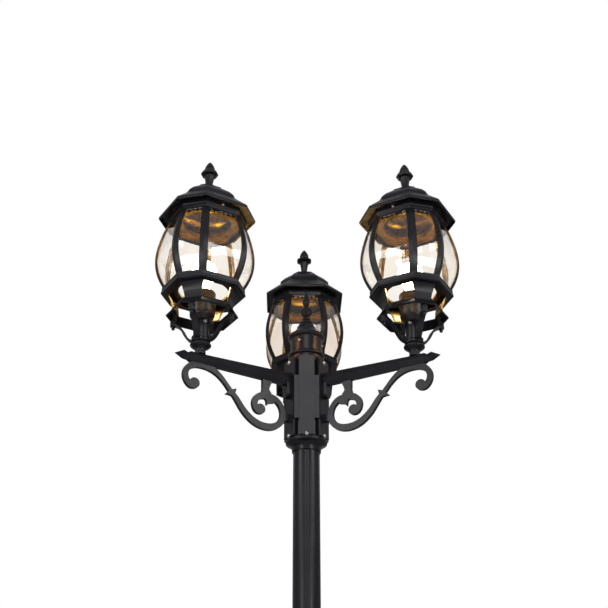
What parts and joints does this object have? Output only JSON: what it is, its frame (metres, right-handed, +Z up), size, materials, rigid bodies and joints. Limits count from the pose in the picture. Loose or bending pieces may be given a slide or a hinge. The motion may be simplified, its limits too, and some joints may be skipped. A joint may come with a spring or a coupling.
{
  "type": "triple head lamp post",
  "caption": "Garden lamp post: cast foot, fluted pole and hub with scroll-braced arms that carry glazed octagonal lanterns with lift-off roofs.",
  "frame": {"origin": "centre of the anchor bolt circle on the underside of the foot, on the pole's axis", "axes": "+Z up along the pole, +Y along one arm, the other two arms 120 degrees to its left and right"},
  "size_m": [0.7066, 0.6303, 2.231],
  "materials": {
    "black_powder_coat": "satin powder coat on die-cast aluminium",
    "gold_lacquer": "gold lacquer on sheet aluminium",
    "clear_glass": "clear, bent",
    "opal_glass": "coated inside, warm white",
    "zinc_screws": "zinc plated",
    "nickel_brass": "nickel plated",
    "brown_phenolic": "moulded phenolic",
    "white_nylon": "moulded nylon",
    "grey_pvc": "PVC sheath"
  },
  "bodies": {
    "root": {"foot": "black_powder_coat", "pole": "black_powder_coat", "hub": "black_powder_coat", "hub_cap": "black_powder_coat", "hub_finial": "black_powder_coat", "arm_screws": "zinc_screws", "pole_screws": "zinc_screws", "cap_screws": "zinc_screws", "foot_screws": "zinc_screws", "terminal_block": "white_nylon", "leads": "grey_pvc", "arm_left": "black_powder_coat", "scroll_left": "black_powder_coat", "stem_left": "black_powder_coat", "spider_left": "black_powder_coat", "leg_nuts_left": "black_powder_coat", "gallery_left": "black_powder_coat", "cage_left": "black_powder_coat", "panes_left": "clear_glass", "reflector_left": "gold_lacquer", "holder_screws_left": "zinc_screws", "lampholder_left": "brown_phenolic", "arm_right": "black_powder_coat", "scroll_right": "black_powder_coat", "stem_right": "black_powder_coat", "spider_right": "black_powder_coat", "leg_nuts_right": "black_powder_coat", "gallery_right": "black_powder_coat", "cage_right": "black_powder_coat", "panes_right": "clear_glass", "reflector_right": "gold_lacquer", "holder_screws_right": "zinc_screws", "lampholder_right": "brown_phenolic", "arm_back": "black_powder_coat", "scroll_back": "black_powder_coat", "stem_back": "black_powder_coat", "spider_back": "black_powder_coat", "leg_nuts_back": "black_powder_coat", "gallery_back": "black_powder_coat", "cage_back": "black_powder_coat", "panes_back": "clear_glass", "reflector_back": "gold_lacquer", "holder_screws_back": "zinc_screws", "lampholder_back": "brown_phenolic"},
    "roof_left": {"roof_left": "black_powder_coat", "roof_screws_left": "zinc_screws", "finial_left": "black_powder_coat"},
    "bulb_left": {"bulb_left": "opal_glass", "bulb_cap_left": "nickel_brass"},
    "roof_right": {"roof_right": "black_powder_coat", "roof_screws_right": "zinc_screws", "finial_right": "black_powder_coat"},
    "bulb_right": {"bulb_right": "opal_glass", "bulb_cap_right": "nickel_brass"},
    "roof_back": {"roof_back": "black_powder_coat", "roof_screws_back": "zinc_screws", "finial_back": "black_powder_coat"},
    "bulb_back": {"bulb_back": "opal_glass", "bulb_cap_back": "nickel_brass"}
  },
  "joints": [
    {"name": "roof_left_lift", "type": "slide", "parent": "root", "child": "roof_left", "axis": [0, 0, 1], "range_m": [0, 0.12]},
    {"name": "bulb_left_draw", "type": "slide", "parent": "root", "child": "bulb_left", "axis": [0, 0, 1], "range_m": [0, 0.025]},
    {"name": "roof_right_lift", "type": "slide", "parent": "root", "child": "roof_right", "axis": [0, 0, 1], "range_m": [0, 0.12]},
    {"name": "bulb_right_draw", "type": "slide", "parent": "root", "child": "bulb_right", "axis": [0, 0, 1], "range_m": [0, 0.025]},
    {"name": "roof_back_lift", "type": "slide", "parent": "root", "child": "roof_back", "axis": [0, 0, 1], "range_m": [0, 0.12]},
    {"name": "bulb_back_draw", "type": "slide", "parent": "root", "child": "bulb_back", "axis": [0, 0, 1], "range_m": [0, 0.025]}
  ]
}
